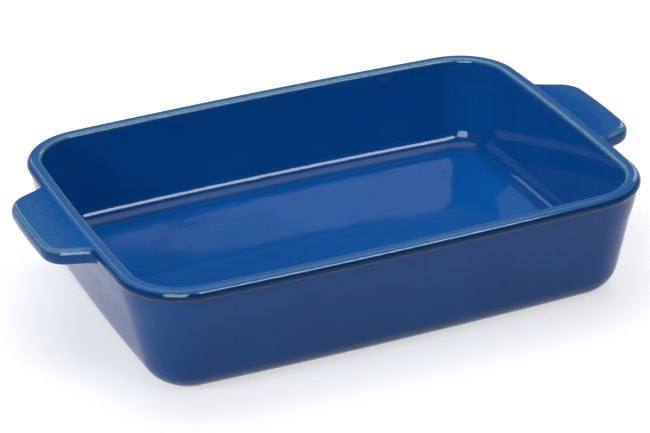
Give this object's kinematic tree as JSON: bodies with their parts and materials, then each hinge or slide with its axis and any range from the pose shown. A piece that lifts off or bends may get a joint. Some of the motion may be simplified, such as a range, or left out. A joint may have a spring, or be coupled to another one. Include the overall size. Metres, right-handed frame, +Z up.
{
  "type": "lasagna dish",
  "caption": "Deep rectangular stoneware baking dish with sloping walls, rounded corners, a beaded rim and a flat wing handle on each short end.",
  "frame": {"origin": "centre of the face that the dish stands on, level with its foot ring", "axes": "+Z up out of the dish, +X along its length towards the right handle, +Y across it towards the back wall"},
  "size_m": [0.3876, 0.244, 0.076],
  "materials": {
    "stoneware": "bare fired clay, matt",
    "blue_glaze": "deep blue gloss glaze"
  },
  "bodies": {
    "root": {"basin": "stoneware", "handle_left": "stoneware", "handle_right": "stoneware", "glaze_basin": "blue_glaze", "glaze_handle_left": "blue_glaze", "glaze_handle_right": "blue_glaze", "glaze_underside": "blue_glaze"}
  },
  "joints": []
}
